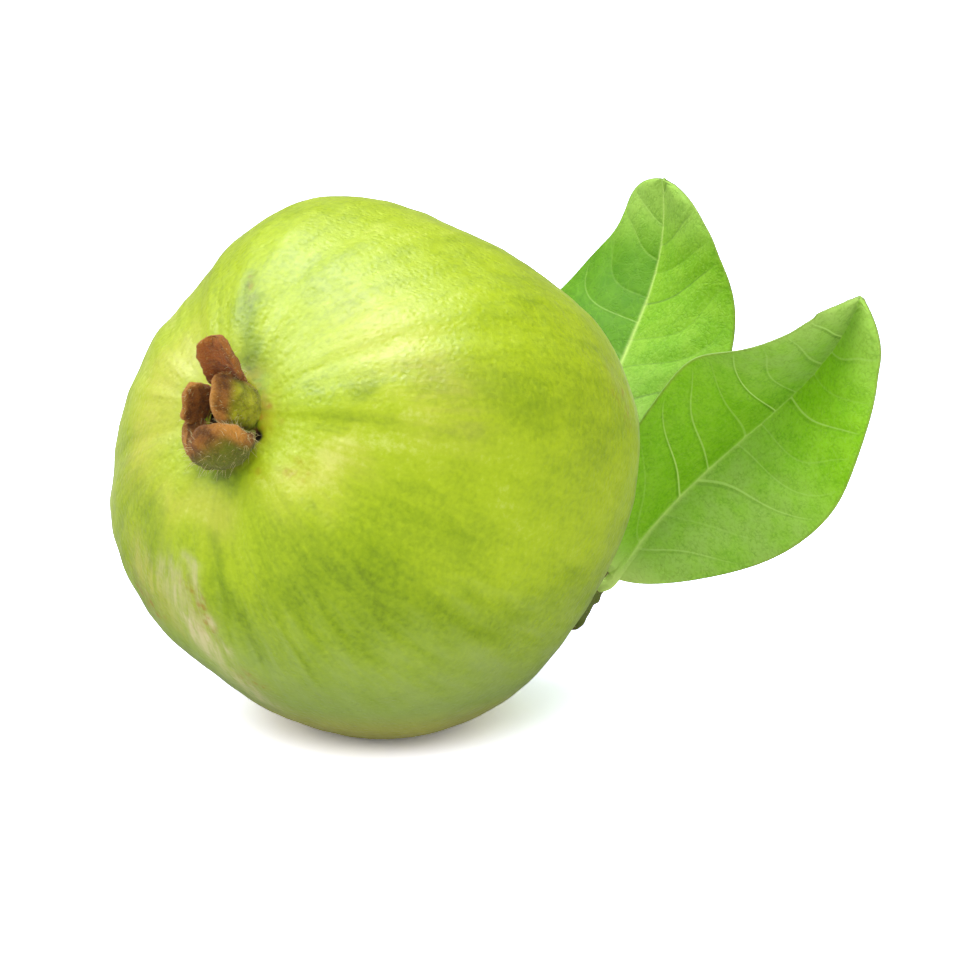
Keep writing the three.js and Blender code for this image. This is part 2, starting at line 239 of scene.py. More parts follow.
patch_strokes = dict(
    yellowed=[  # riper and yellower
        (22, 60, 27, 110, 7.0, 0.8), (24, 150, 22, 180, 4.0, 0.6),
        (28, -105, 24, -125, 5.0, 0.6), (36, -50, 46, -75, 8.0, 0.5),
        (44, 146, 52, 160, 6.0, 0.7),
    ],
    bleached=[  # a pale dry scar
        (38, 156, 52, 167, 3.4, 0.9), (52, 167, 70, 177, 3.2, 0.9),
        (34, 168, 42, 171, 1.2, 0.8), (46, 172, 54, 175, 1.1, 0.8),
    ],
    rusty=[  # brown specks
        (52, 142, 56, 148, 3.0, 1.0), (40, 168, 50, 171, 2.2, 0.9),
        (62, 178, 67, 182, 2.2, 0.8), (9, -70, 11, -90, 1.7, 1.0),
        (15, -133, 22, -118, 2.2, 0.45), (29, 11, 27, 9, 0.9, 1.0),
        (92, -64, 100, -68, 3.0, 0.6),
    ],
)
far_side_strokes = 40  # placed at random, with their middles on the stalk's half
wander = [unevenness(skin_points, 7 * mm, seed) for seed in (5, 6, 7)]
wandered = skin_points + 0.9 * mm * np.stack(wander, axis=-1)  # so that no stroke's edge is even
draw = np.random.default_rng(8)
for _ in range(far_side_strokes):
    start = (draw.uniform(85, 150), draw.uniform(-180, 180))
    end = (start[0] + draw.uniform(8, 25), start[1] + draw.uniform(-8, 8))
    green_and_shade_strokes.append((*start, *end, draw.uniform(2, 6), draw.uniform(-0.7, 0.9)))
tone_and_shade = 0.18 * unevenness(skin_points, 30 * mm, 3) + 0.13 * unevenness(skin_points, 11 * mm, 4)
# these strokes include painted shade round the calyx's foot and painted shadow under the calyx
tone_and_shade += brushed(green_and_shade_strokes, wandered)
# painted shade: the skin turns darker and greener below about 27 to 40 mm above the floor
depth_below = 4 * mm * unevenness(skin_points, 20 * mm, 9) - skin_points[..., 2]
tone_and_shade += 0.9 * smooth_step(depth_below, -40 * mm, -27 * mm)
streak_place = np.stack([np.cos(turn), np.sin(turn), from_calyx], axis=-1)
field(fruit, "streak_place", streak_place, (1, 0, 0), (1, 0, math.pi))
# the skin's stored darkness, painted shade included
field(fruit, "tone_and_shade", tone_and_shade, tone_and_shade[0].mean(), tone_and_shade[-1].mean())
# painted shade in the notch between two sepals
field(fruit, "pit_shade", bell(from_pit, 1.3 * mm), 0, 0)
field(fruit, "from_axis", from_axis * 1000, 0, 0)
for name, strokes in patch_strokes.items():
    field(fruit, name, brushed(strokes, wandered), 0, 0)


def colour(red, green, blue):
    """A screen colour, 0 to 255, as the linear colour that a shader takes."""
    share = np.array([red, green, blue]) / 255
    linear = np.where(share <= 0.04045, share / 12.92, ((share + 0.055) / 1.055) ** 2.4)
    return (*linear.tolist(), 1.0)


def new_finish(name, **constants):
    """A material with a Principled shader: returns it, its node tree and the shader. The constants are the
    shader's inputs by their names with _ for a space."""
    material = bpy.data.materials.new(name)
    material.use_nodes = True
    shader = material.node_tree.nodes["Principled BSDF"]
    for key, value in constants.items():
        shader.inputs[key.replace("_", " ")].default_value = value
    return material, material.node_tree, shader


def node(tree, kind, inputs, **settings):
    """One shader node: inputs by name or number, each a value or another node's output."""
    made = tree.nodes.new(kind)
    for name, value in settings.items():
        setattr(made, name, value)
    for name, value in inputs.items():
        if isinstance(value, bpy.types.NodeSocket):
            tree.links.new(value, made.inputs[name])
        else:
            made.inputs[name].default_value = value
    return made


def reading(tree, name, output="Fac"):
    """A number, or with "Vector" a vector, that is stored on the mesh's points."""
    return node(tree, "ShaderNodeAttribute", {}, attribute_name=name).outputs[output]


def object_place(tree):
    """The place in the object's own frame, in metres."""
    return node(tree, "ShaderNodeTexCoord", {}).outputs["Object"]


def stretched(place, scale):
    """The place with each of its axes scaled."""
    return node(place.id_data, "ShaderNodeMapping", {"Vector": place, "Scale": scale}).outputs["Vector"]


def speckle(place, scale, detail=3.0, roughness=0.6):
    """Cloudy noise from 0 to 1, with this many clouds in a metre, or in a unit of the place."""
    inputs = {"Vector": place, "Scale": scale, "Detail": detail, "Roughness": roughness}
    return node(place.id_data, "ShaderNodeTexNoise", inputs).outputs["Fac"]


def cells(place, scale, feature="F1"):
    """The distance to the middle of the nearest of many cells, or with another feature to their edge."""
    inputs = {"Vector": place, "Scale": scale}
    return node(place.id_data, "ShaderNodeTexVoronoi", inputs, feature=feature).outputs["Distance"]


def ramp(value, start, end, low=0.0, high=1.0):
    """The value eased from low at start to high at end, and held outside them."""
    inputs = {"Value": value, "From Min": start, "From Max": end, "To Min": low, "To Max": high}
    made = node(value.id_data, "ShaderNodeMapRange", inputs, interpolation_type="SMOOTHSTEP")
    return made.outputs["Result"]


def maths(first, second, operation="MULTIPLY"):
    """The product of two numbers, or what another operation makes of them."""
    return node(first.id_data, "ShaderNodeMath", {0: first, 1: second}, operation=operation).outputs[0]


def tinted(share, under, over):
    """Under where the share is 0, over where it is 1. Each is a colour or another node's output."""
    inputs = {"Factor": share, 6: under, 7: over}
    return node(share.id_data, "ShaderNodeMix", inputs, data_type="RGBA", blend_type="MIX").outputs[2]


def painted(shader, base, *layers):
    """Gives the shader its colour: the base, with each layer's colour over it by the layer's share."""
    for share, over in layers:
        base = tinted(share, base, over)
    base.id_data.links.new(base, shader.inputs["Base Color"])


def relief(height, depth, shader):
    """Fine relief on a finish: the height, 0 to 1, is this deep."""
    inputs = {"Strength": 1.0, "Distance": depth, "Height": height}
    made = node(height.id_data, "ShaderNodeBump", inputs)
    height.id_data.links.new(made.outputs["Normal"], shader.inputs["Normal"])


def skin_finish():
    """Waxy guava skin: pale yellow-green to dark green by its stored darkness, streaks and a mottle of about
    a millimetre, bleached on a scar, yellower in patches and round the calyx, with rust specks. Painted
    shade darkens its lower half, the crease round the calyx's foot, the skin under the calyx and the notch
    by it;
    painted floor light greys the lower half and paints a pale rim along the bottom. It shines more away from
    the calyx, and is pebbled."""
    material, tree, shader = new_finish(
        "guava_skin", Specular_IOR_Level=0.3, Sheen_Weight=0.15, Sheen_Roughness=0.3
    )
    place = object_place(tree)
    streak = reading(tree, "streak_place", "Vector")
    broad = stretched(streak, (14, 14, 3.4))
    narrow = stretched(streak, (26, 26, 8))
    from_axis = reading(tree, "from_axis")
    broad_streaks = maths(speckle(broad, 1.0, 2.0), 0.5, "SUBTRACT")
    broad_streaks = maths(broad_streaks, ramp(from_axis, 5.0, 18.0))
    narrow_streaks = maths(speckle(narrow, 1.0), 0.5, "SUBTRACT")
    narrow_streaks = maths(narrow_streaks, ramp(from_axis, 8.0, 32.0))
    mottle = maths(speckle(place, 1050.0), 0.5, "SUBTRACT")
    # the stored darkness, painted shade included
    depth = reading(tree, "tone_and_shade")
    for unevenly, weight in [(broad_streaks, 2.3), (narrow_streaks, 1.0), (mottle, 2.9)]:
        depth = maths(depth, maths(unevenly, weight), "ADD")
    height = node(tree, "ShaderNodeSeparateXYZ", {"Vector": place}).outputs["Z"]
    # height for the painted floor light on the lower half
    floor_bounce_height = maths(height, maths(broad_streaks, 0.03), "ADD")
    riper = maths(reading(tree, "yellowed"), ramp(narrow_streaks, -0.2, 0.2, 0.3, 0.8))
    bleach = maths(reading(tree, "bleached"), ramp(narrow_streaks, -0.25, 0.2, 0.1, 0.9))
    near_calyx = maths(ramp(from_axis, 4.5, 11.0, 0.85, 0.0), ramp(speckle(place, 260.0), 0.35, 0.6))
    rust = maths(ramp(cells(place, 480.0), 0.15, 0.5, 1.0, 0.2), reading(tree, "rusty"))
    rust = maths(rust, ramp(mottle, -0.15, 0.1, 0.3, 1.0))
    painted(
        shader,
        colour(200, 212, 100),
        (ramp(depth, -2.2, -0.2), colour(167, 190, 14)),
        (ramp(depth, -0.6, 1.9), colour(130, 157, 0)),
        (ramp(depth, 1.3, 3.4), colour(92, 114, 0)),
        # the darkest green, reached mostly where the painted shadow lies under the calyx
        (ramp(depth, 3.4, 6.0), colour(56, 74, 4)),
        (riper, colour(208, 198, 96)),
        # painted floor light: greyer low on the fruit, as the floor's reflection
        (ramp(floor_bounce_height, 0.004, 0.034, 0.95, 0.0), colour(146, 166, 88)),
        # painted floor light: a pale rim along the bottom
        (ramp(height, 0.003, 0.011, 0.8, 0.0), colour(192, 184, 88)),
        (bleach, colour(200, 194, 140)),
        (near_calyx, colour(166, 160, 6)),
        (rust, colour(160, 108, 14)),
        # painted shade: nearly black in the notch between two sepals
        (ramp(reading(tree, "pit_shade"), 0.2, 0.8), colour(44, 34, 10)),
    )
    gloss = ramp(speckle(place, 500.0), 0.3, 0.7, 0.4, 0.54)
    gloss = maths(gloss, ramp(from_axis, 6.0, 15.0, 0.25, 0.0), "ADD")
    tree.links.new(gloss, shader.inputs["Roughness"])
    pebbled = maths(ramp(cells(place, 900.0), 0.0, 0.55), maths(mottle, 1.6), "ADD")
    ridged = maths(pebbled, maths(narrow_streaks, 0.6), "ADD")
    relief(ridged, 0.06 * mm, shader)
    return material


fruit.data.materials.append(skin_finish())
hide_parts("fruit")
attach(fruit, "root")

# ---- The calyx ----
# What is left of the flower: a low fleshy neck, green as the skin it grows from, with a dip in it painted
# dark as shade, and five thick sepals on its rim, dried brown and curled, each in its own way.
neck_columns = 160
neck_profile = [  # from the axis: distance, height above the calyx pole
    (6.0, -1.2), (5.9, -0.2), (5.6, 0.6), (5.35, 1.15), (4.9, 1.5),
    (4.2, 1.45), (3.7, 1.0), (3.3, -0.4), (2.2, -1.4), (0.9, -1.7),
]


def smooth_profile(points, steps):
    """A smooth curve through a few points, a Catmull-Rom curve with its ends repeated, as an array of
    steps between each two points."""
    points = np.array([points[0], *points, points[-1]], float)
    share = np.linspace(0, 1, steps, endpoint=False)[:, None]
    parts = []
    for before, start, end, after in zip(points, points[1:], points[2:], points[3:]):
        bend = 2 * before - 5 * start + 4 * end - after
        turn_back = 3 * (start - end) + after - before
        parts.append(start + 0.5 * share * (end - before + share * (bend + share * turn_back)))
    return np.concatenate([*parts, points[-1:]])


def calyx_place(outward, height, turn):
    """A point by its distance from the fruit's axis, its height above the calyx pole, and its turn."""
    return calyx_floor + height[..., None] * calyx_way + outward[..., None] * sideways(turn)


profile = smooth_profile(neck_profile, 5) * mm
neck_turn = -round_turn(neck_columns)
neck_out, neck_turns = np.meshgrid(profile[::-1, 0], neck_turn, indexing="ij")
neck_height = np.broadcast_to(profile[::-1, 1:], neck_out.shape)
pleat = 0.16 * mm * np.cos(10 * neck_turns + 0.8) + 0.1 * mm * np.cos(17 * neck_turns)
neck_points = calyx_place(neck_out + pleat * (neck_out / neck_radius) ** 2, neck_height, neck_turns)
neck_points += 0.12 * mm * unevenness(neck_points, 2.4 * mm, 11)[..., None] * calyx_way
from_pit = np.linalg.norm(neck_points - calyx_pit, axis=-1)
neck_pit = bell(from_pit, 1.5 * mm)
neck_points -= 1.5 * mm * neck_pit[..., None] * calyx_way
hollow_floor = calyx_floor - 1.7 * mm * calyx_way
neck = lofted_mesh("calyx_neck", neck_points, hollow_floor, calyx_floor - 1.4 * mm * calyx_way)
# painted shade: the share painted nearly black where the neck dips and in the notch
hollow_shade_share = np.maximum(1 - smooth_step(neck_out, 3.4 * mm, 4.6 * mm), neck_pit)
field(neck, "hollow_shade", hollow_shade_share, 1, 0)


def neck_finish():
    """Green flesh like the skin's, browner on the rim, and painted nearly black as shade where it dips in
    the middle and in the notch between two sepals.
    """
    material, tree, shader = new_finish("calyx_flesh", Roughness=0.65, Specular_IOR_Level=0.15)
    place = object_place(tree)
    hollow_shade = reading(tree, "hollow_shade")
    painted(
        shader,
        colour(118, 150, 18),
        (ramp(speckle(place, 700.0, 4.0), 0.35, 0.65), colour(168, 190, 50)),
        (ramp(hollow_shade, 0.0, 0.5), colour(96, 62, 26)),
        # painted shade: nearly black
        (ramp(hollow_shade, 0.4, 0.9), colour(30, 18, 10)),
    )
    relief(speckle(place, 1800.0, 4.0), 0.15 * mm, shader)
    return material


neck.data.materials.append(neck_finish())
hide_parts("calyx")
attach(neck, "root")

# Turn and aside are in degrees; width, lean and thickness go from root to tip. On the outer face, the
# light rim starts and the green ends between two heights above the sepal's middle, in millimetres, and
# the green also ends between two shares of the way along. The light rim is rubbed edge, and where it
# starts above the middle, as on the hood, painted highlight on the sepal's top.
dry_sepal = dict(
    rounded_from=0.45, green=0.0, dull=0, lip=0.2, rim_width=0.6, pale_from=(-9, -8), brown_from=(0, 1),
    brown_beyond=(0, 1), hairs=60, hair_length=(0.3, 0.8),
)
sepals = [
    dry_sepal | dict(
        name="sepal_crown", turn=8, length=11.6, width=(6, 7.3), lean=(15, 37), aside=13, cupping=0.4,
        red=0.8, light_rim=0.3, lip=0.25, hairs=90, seed=21,
    ),
    dry_sepal | dict(
        name="sepal_flank", turn=72, length=5.8, width=(5, 8.2), lean=(-4, 22), aside=-20, cupping=0.1,
        red=0.45, light_rim=0.7, rim_width=0.5, seed=22,
    ),
    dry_sepal | dict(
        name="sepal_low", turn=134, length=4.1, width=(9.5, 11.5), lean=(62, 18), aside=34, cupping=0.05,
        rounded_from=0.55, red=0.2, light_rim=0.5, seed=23,
    ),
    dry_sepal | dict(
        name="sepal_hood", turn=213, length=13.9, width=(8.6, 10.8), lean=(95, -108), aside=7, cupping=0.5,
        rounded_from=0.7, green=1.0, red=0.2, light_rim=0.9, dull=0.85, lip=0.3, rim_width=6.0,
        pale_from=(0.5, 2.4), brown_from=(0.5, 2.2), brown_beyond=(0.62, 0.85), hairs=260,
        hair_length=(0.5, 1.8), seed=24,
    ),
    dry_sepal | dict(
        name="sepal_curl", turn=291, length=8.8, width=(7.6, 10.4), lean=(8, -58), aside=-9, cupping=0.45,
        rounded_from=0.5, green=0.85, red=0.15, light_rim=1.0, dull=0.1, lip=0.5, rim_width=0.9,
        brown_from=(2.2, 3.6), brown_beyond=(0.5, 0.75), hairs=120, hair_length=(0.3, 0.9), seed=25,
    ),
]
sepal_root_radius = 4.9 * mm
sepal_root_height = 0.95 * mm
sepal_thickness = (2.2 * mm, 1.6 * mm)
sepal_rows = 72
sepal_columns = 96


def blunt(value):
    """Squares off a circle's sine or cosine: its size to the power 0.6, with its sign."""
    return np.sign(value) * np.abs(value) ** 0.6


def sepal_surface(sepal):
    """A thick strap with rounded corners. Its middle line turns through the lean, which is the angle from
    the fruit's axis outwards; its width and thickness change evenly along it, and across it the strap
    bends inwards with the square of the distance from its middle. A low lip runs just inside its edges on
    the outer face, its tip is ragged, and its skin is puckered. Returns the rings of points, the middles
    of root and tip, each ring's share along, each point's turn, its place on the flat strap, and how far
    it is from the edge."""
    along = np.linspace(0, 1, sepal_rows)[:, None]
    lean = np.radians(np.interp(along, (0, 1), sepal["lean"]))
    aside = math.radians(sepal["aside"])
    outward_way = sideways(np.radians([sepal["turn"]]))
    round_way = np.cross(outward_way, calyx_way)
    upright = np.cos(lean) * calyx_way + np.sin(lean) * outward_way
    way = math.cos(aside) * upright + math.sin(aside) * round_way
    outwards = np.cos(lean) * outward_way - np.sin(lean) * calyx_way
    across = np.cross(outwards, way)
    root = calyx_floor + sepal_root_height * calyx_way + sepal_root_radius * outward_way[0]
    step = sepal["length"] * mm / (sepal_rows - 1)
    middle = root + np.concatenate([np.zeros((1, 3)), np.cumsum(way[1:] * step, axis=0)])
    half_width = np.interp(along, (0, 1), sepal["width"]) * mm / 2 * (1 - 0.2 * along**8)
    half_thick = np.interp(along, (0, 1), sepal_thickness) / 2
    rounding = np.sqrt(np.clip(1 - np.clip((along - 0.88) / 0.12, 0, 1) ** 2, 0.02, 1))
    from_round = np.clip((along - sepal["rounded_from"]) / (1 - sepal["rounded_from"]), 0, 1)
    half_width = half_width * (0.4 + 0.6 * np.sqrt(1 - from_round**2))
    turn = (np.arange(sepal_columns) + 0.5) * 2 * math.pi / sepal_columns
    x = half_width * blunt(np.cos(turn)) * (0.75 + 0.25 * rounding)
    ragged = unevenness(np.stack([x, x * 0, x * 0], axis=-1), 3.2 * mm, sepal["seed"])
    out = half_thick * rounding * blunt(np.sin(turn))
    out = out - sepal["cupping"] * x * x / half_width
    from_side = np.maximum(half_width - np.abs(x), 0)
    from_edge = np.minimum(from_side, (1 - along) * sepal["length"] * mm)
    lip = sepal["lip"] * mm * bell(from_edge - 0.6 * mm, 0.45 * mm)
    out = out + lip * smooth_step(np.sin(turn), 0, 0.5) * smooth_step(along, 0.25, 0.5)
    points = middle[:, None] + x[..., None] * across[:, None] + out[..., None] * outwards[:, None]
    points = points + (0.3 * mm * ragged * along**3)[..., None] * way[:, None]
    pucker = 0.13 * mm * unevenness(points, 2.2 * mm, sepal["seed"] + 10)
    pucker += 0.05 * mm * unevenness(points, 0.8 * mm, sepal["seed"] + 20)
    side = np.sin(turn)[None, :, None] * outwards[:, None] + np.cos(turn)[None, :, None] * across[:, None]
    points = points + (pucker * smooth_step(along, 0, 0.2))[..., None] * side
    run = np.linspace(0, sepal["length"] * mm, sepal_rows)[:, None] + 0 * x
    fibres = np.stack([x, run, 0 * x], axis=-1)
    return points, root, points[-1].mean(0), along, turn, fibres, from_edge


def sepal_finish():
    """Dried sepal: felted brown, redder, duller or greener by the stored shares, lighter along its rubbed
    edges and, where the light rim is kept to the top, with painted highlight, and dark in its lengthwise
    creases."""
    material, tree, shader = new_finish(
        "dried_sepal", Roughness=0.9, Specular_IOR_Level=0.05, Sheen_Weight=0.12, Sheen_Roughness=0.5
    )
    place = object_place(tree)
    streaks = speckle(stretched(reading(tree, "fibres", "Vector"), (2400, 800, 1)), 1.0, 4.0, 0.7)
    clouds = speckle(place, 520.0, 5.0, 0.65)
    grain = speckle(place, 3000.0, 4.0, 0.7)
    redness = maths(reading(tree, "redness"), ramp(clouds, 0.3, 0.6, 0.4, 1.0))
    # rubbed edges, and painted highlight on the hood's top
    worn_and_lit = maths(reading(tree, "rim"), ramp(grain, 0.2, 0.6, 0.3, 1.0))
    greener = maths(reading(tree, "greenness"), ramp(clouds, 0.2, 0.5, 0.5, 1.0))
    leafy = tinted(ramp(clouds, 0.35, 0.65), colour(134, 144, 4), colour(182, 188, 36))
    leafy = tinted(reading(tree, "dull"), leafy, colour(84, 90, 26))
    painted(
        shader,
        colour(88, 56, 22),
        (ramp(clouds, 0.35, 0.65), colour(150, 102, 44)),
        (redness, colour(158, 82, 28)),
        (worn_and_lit, colour(204, 142, 62)),
        (greener, leafy),
        (ramp(grain, 0.5, 0.8, 0.0, 0.5), colour(196, 160, 92)),
        (ramp(streaks, 0.25, 0.5, 0.4, 0.0), colour(52, 32, 12)),
    )
    relief(maths(streaks, maths(grain, 1.2), "ADD"), 0.3 * mm, shader)
    return material


hair_rings = 5
hair_sides = 5
hair_radius = 0.03 * mm
hair_lean = 0.7  # the share along the sepal, against straight out of its face
hair_scatter = 0.35


def hair_mesh(name, roots, tips, draw):
    """Closed five-sided hairs, thinner to their tips. Each sags below the straight line from its root to
    its tip, most at the tip, with the square of the way."""
    share = np.linspace(0, 1, hair_rings)[None, :, None]
    run = (tips - roots)[:, None]
    reach = np.linalg.norm(run, axis=-1, keepdims=True)
    sag = draw.uniform(0.1, 0.5, (len(roots), 1, 1)) * reach * share**2 * np.array([0, 0, 1.0])
    centres = roots[:, None] + share * run - sag
    first = unit(np.cross(run / reach, draw.normal(size=run.shape)))
    second = np.cross(run / reach, first)
    turn = round_turn(hair_sides)[:, None]
    spoke = np.cos(turn) * first[:, :, None] + np.sin(turn) * second[:, :, None]
    points = centres[:, :, None] + hair_radius * (1 - 0.7 * share[..., None]) * spoke
    number = np.arange(points[..., 0].size).reshape(points.shape[:3])
    ahead = np.roll(number, -1, axis=2)
    sides = np.stack([number[:, :-1], ahead[:, :-1], ahead[:, 1:], number[:, 1:]], axis=-1).reshape(-1, 4)
    ends = number[:, 0, ::-1].tolist() + number[:, -1].tolist()
    mesh = bpy.data.meshes.new(name)
    mesh.from_pydata(points.reshape(-1, 3).tolist(), [], sides.tolist() + ends)
    return placed(name, mesh)


def pale_hair_finish():
    """The pale felt on a dried sepal."""
    pale = colour(206, 192, 140)
    return new_finish("pale_hair", Base_Color=pale, Roughness=0.7, Specular_IOR_Level=0.1)[0]


felted_brown = sepal_finish()
hair_roots = []
hair_tips = []
draw = np.random.default_rng(51)
for sepal in sepals:
    points, root, tip, along, ring_turn, fibres, from_edge = sepal_surface(sepal)
    piece = lofted_mesh(sepal["name"], points, root, tip)
    field(piece, "fibres", fibres, (0, 0, 0), (0, sepal["length"] * mm, 0))
    rim = bell(from_edge, sepal["rim_width"] * mm) * smooth_step(along, 0.3, 0.6)
    above = (points - points.mean(1, keepdims=True)) @ crown_way / mm
    # painted highlight: with a start above the middle, as on the hood, the light rim is kept to the sepal's
    # top
    rim = rim * sepal["light_rim"] * smooth_step(above, *sepal["pale_from"])
    outer_face = smooth_step(np.sin(ring_turn), -0.2, 0.5)[None]
    green = sepal["green"] * outer_face * (1 - smooth_step(along, *sepal["brown_beyond"]))
    green = green * (1 - smooth_step(above, *sepal["brown_from"]))
    green = np.maximum(green, 1 - smooth_step(along, 0.02, 0.22))
    field(piece, "rim", rim, 0, sepal["light_rim"])
    field(piece, "greenness", green, 1, 0)
    field(piece, "redness", np.full_like(rim, sepal["red"]), 0, sepal["red"])
    field(piece, "dull", np.full_like(rim, sepal["dull"]), sepal["dull"], sepal["dull"])
    piece.data.materials.append(felted_brown)
    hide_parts("calyx")
    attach(piece, "root")
    row = draw.integers(8, sepal_rows - 2, sepal["hairs"])
    column = draw.integers(0, sepal_columns, sepal["hairs"])
    run = points[row + 1, column] - points[row - 1, column]
    across = points[row, (column + 1) % sepal_columns] - points[row, column - 1]
    out = unit(np.cross(across, unit(run)))
    way = hair_lean * unit(run) + (1 - hair_lean) * out + hair_scatter * draw.normal(size=out.shape)
    way = unit(way) + 0.3 * out
    hair_roots.append(points[row, column] - 0.03 * mm * out)
    hair_tips.append(points[row, column] + way * draw.uniform(*sepal["hair_length"], (len(way), 1)) * mm)

hairs = hair_mesh("sepal_hairs", np.concatenate(hair_roots), np.concatenate(hair_tips), draw)
hairs.data.materials.append(pale_hair_finish())
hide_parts("calyx")
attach(hairs, "root")

# ---- The stalk and the twig ----
# A short end of the living twig, cut at both ends, and the stalk that runs from its node into the fruit.
# Both are green wood with thin bark that is browner on the twig, and the node is a little swollen.
twig_node = np.array([10.4, 52.8, 12.2]) * mm
twig_way = unit(np.array([-0.25, 0.88, 0.4]))
twig_before = 9 * mm
twig_after = 10 * mm
twig_radius = 2.3 * mm
node_radius = 3 * mm
node_swelling = 2.2 * mm
stalk_radius = 1.55 * mm
stalk_flare = 0.75 * mm
stalk_in_fruit = 3 * mm
bar_columns = 64


def bezier(points, share):
    """A cubic Bezier curve's points and unit tangents at these shares of the way."""
    a, b, c, d = np.array(points, float)
    s = share[:, None]
    place = (1 - s) ** 3 * a + 3 * s * (1 - s) ** 2 * b + 3 * s * s * (1 - s) * c + s**3 * d
    tangent = (1 - s) ** 2 * (b - a) + 2 * s * (1 - s) * (c - b) + s * s * (d - c)
    return place, unit(tangent)


def bar_rings(centres, tangents, radii, lead):
    """Rings round a line of centres, each turning about its tangent from the way "lead" made square to it,
    and the way outwards at each point."""
    first = unit(lead - (tangents @ lead)[:, None] * tangents)
    second = np.cross(tangents, first)
    turn = round_turn(bar_columns)[:, None]
    sides = np.cos(turn) * first[:, None] + np.sin(turn) * second[:, None]
    return centres[:, None] + radii[:, None, None] * sides, sides


def bark_finish(name, young, old):
    """Thin bark: a young colour and an old one in long patches, with pale corky dots and fine cracks."""
    material, tree, shader = new_finish(name, Roughness=0.75, Specular_IOR_Level=0.15)
    place = object_place(tree)
    oldness = ramp(speckle(place, 260.0, 4.0), 0.38, 0.62)
    corky = ramp(cells(place, 620.0), 0.12, 0.2, 0.7, 0.0)
    painted(shader, young, (oldness, old), (corky, colour(176, 160, 118)))
    relief(speckle(place, 1500.0, 5.0, 0.7), 0.25 * mm, shader)
    return material


twig_line = smooth_profile(
    [
        twig_node - twig_before * twig_way + np.array([-0.8, 0, -0.4]) * mm,
        twig_node,
        twig_node + twig_after * twig_way + np.array([0.6, 0, 0.5]) * mm,
    ],
    45,
)
twig_tangents = unit(np.gradient(twig_line, axis=0))
twig_run = np.linalg.norm(np.diff(twig_line, axis=0, prepend=twig_line[:1]), axis=1).cumsum()
from_node = twig_run - twig_run[len(twig_run) // 2]
twig_radii = twig_radius + (node_radius - twig_radius) * bell(from_node, node_swelling)
cut_ends = np.minimum(twig_run, twig_run[-1] - twig_run)
twig_radii = twig_radii - 0.25 * mm * bell(cut_ends, 0.3 * mm)
twig_points, twig_sides = bar_rings(twig_line, twig_tangents, twig_radii, calyx_way)
twig_points += (0.12 * mm * unevenness(twig_points, 2.2 * mm, 31))[..., None] * twig_sides
twig = lofted_mesh("twig", twig_points, twig_line[0], twig_line[-1])
twig.data.materials.append(bark_finish("twig_bark", colour(104, 116, 52), colour(122, 98, 64)))
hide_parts("stem")
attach(twig, "root")

stalk_foot = fruit_centre - calyx_way * (stalk_pole - stalk_in_fruit + 0.3 * mm)
stalk_curve = [
    stalk_foot,
    stalk_foot - 10 * mm * calyx_way,
    twig_node + np.array([-3, -8, -0.5]) * mm,
    twig_node,
]
stalk_share = np.linspace(0, 1, 110)
stalk_line, stalk_tangents = bezier(stalk_curve, stalk_share)
stalk_radii = stalk_radius + stalk_flare * (2 * stalk_share - 1) ** 4
stalk_points, stalk_sides = bar_rings(stalk_line, stalk_tangents, stalk_radii, crown_way)
stalk_points += (0.08 * mm * unevenness(stalk_points, 2.0 * mm, 32))[..., None] * stalk_sides
stalk = lofted_mesh("stalk", stalk_points, stalk_line[0], stalk_line[-1])
stalk.data.materials.append(bark_finish("stalk_bark", colour(118, 142, 54), colour(134, 126, 66)))
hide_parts("stem")
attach(stalk, "root")

# ---- The leaves ----
# Two opposite leaves on short petioles. The blade is thin and leathery, waved and folded up along the
# midrib, with arched side veins sunk in the upper face and standing out below, and a net of fine veins.
leaf_facing = np.array([0.536, -0.813, 0.225])
petiole_radius = 1.15 * mm
petiole_in_twig = 1.3 * mm
blade_thickness = 0.6 * mm
# Per half, each leaf stores a greyer painted sheen that stands for reflected light, painted shade, and
# painted shade on the dark side of its veins; its tip is painted lighter.
leaves = [
    dict(
        name="leaf_upper",
        midrib=[(8.4, 55, 20.5), (2.6, 63.4, 52.2), (9.2, 88.1, 58.5), (8.4, 83, 85.6)],
        half_width=22.8, fullness=(0.51, 0.47), roll=(0.3, 0.87),
        left_fold=(0.3, -0.25), right_fold=(-0.16, 0.32), leaves_twig=(-0.85, -0.2, 0.48),
        blunt=0.15, wave=(0.4, 2.5, 0.4), margins=[(-1, 0.86, 0.07, -0.13), (1, 0.9, 0.06, 0.08)],
        young=0.1, leaf_sheen=(0.2, 0.9), leaf_shade=(1.0, 0.0), pale_veins=(0.3, 0.1), shaded_veins=(0.1, 0.7),
        leaf_sheen_ends=((0.75, 0.95), (0.15, 0.6)),
    ),
    dict(
        name="leaf_side",
        midrib=[(15.4, 54.1, 15.2), (28, 67, 41.2), (45.4, 76.8, 46.4), (59.6, 63.1, 70)],
        half_width=22.9, fullness=(0.61, 0.63), roll=(-0.17, -0.05),
        left_fold=(0.62, 0.6), right_fold=(0.21, 0.97), leaves_twig=(0.9, 0, 0.4),
        blunt=0.3, wave=(0.4, 2.5, 2.0), margins=[(-1, 0.985, 0.015, 0.4)],
        young=0.8, leaf_sheen=(0.9, 0.9), leaf_shade=(0.25, 0.0), pale_veins=(0.9, 0.6), shaded_veins=(0.25, 0.2),
        leaf_sheen_ends=((0.5, 0.8), (0.35, 0.7)),
    ),
]
petiole_rows = 30
blade_rows = 270
half_columns = 72
vein_pairs = 9
vein_spacing = 7.8 * mm
vein_sweep = (0.11, 0.12)  # of the share of the way across, and of its cube, towards the tip


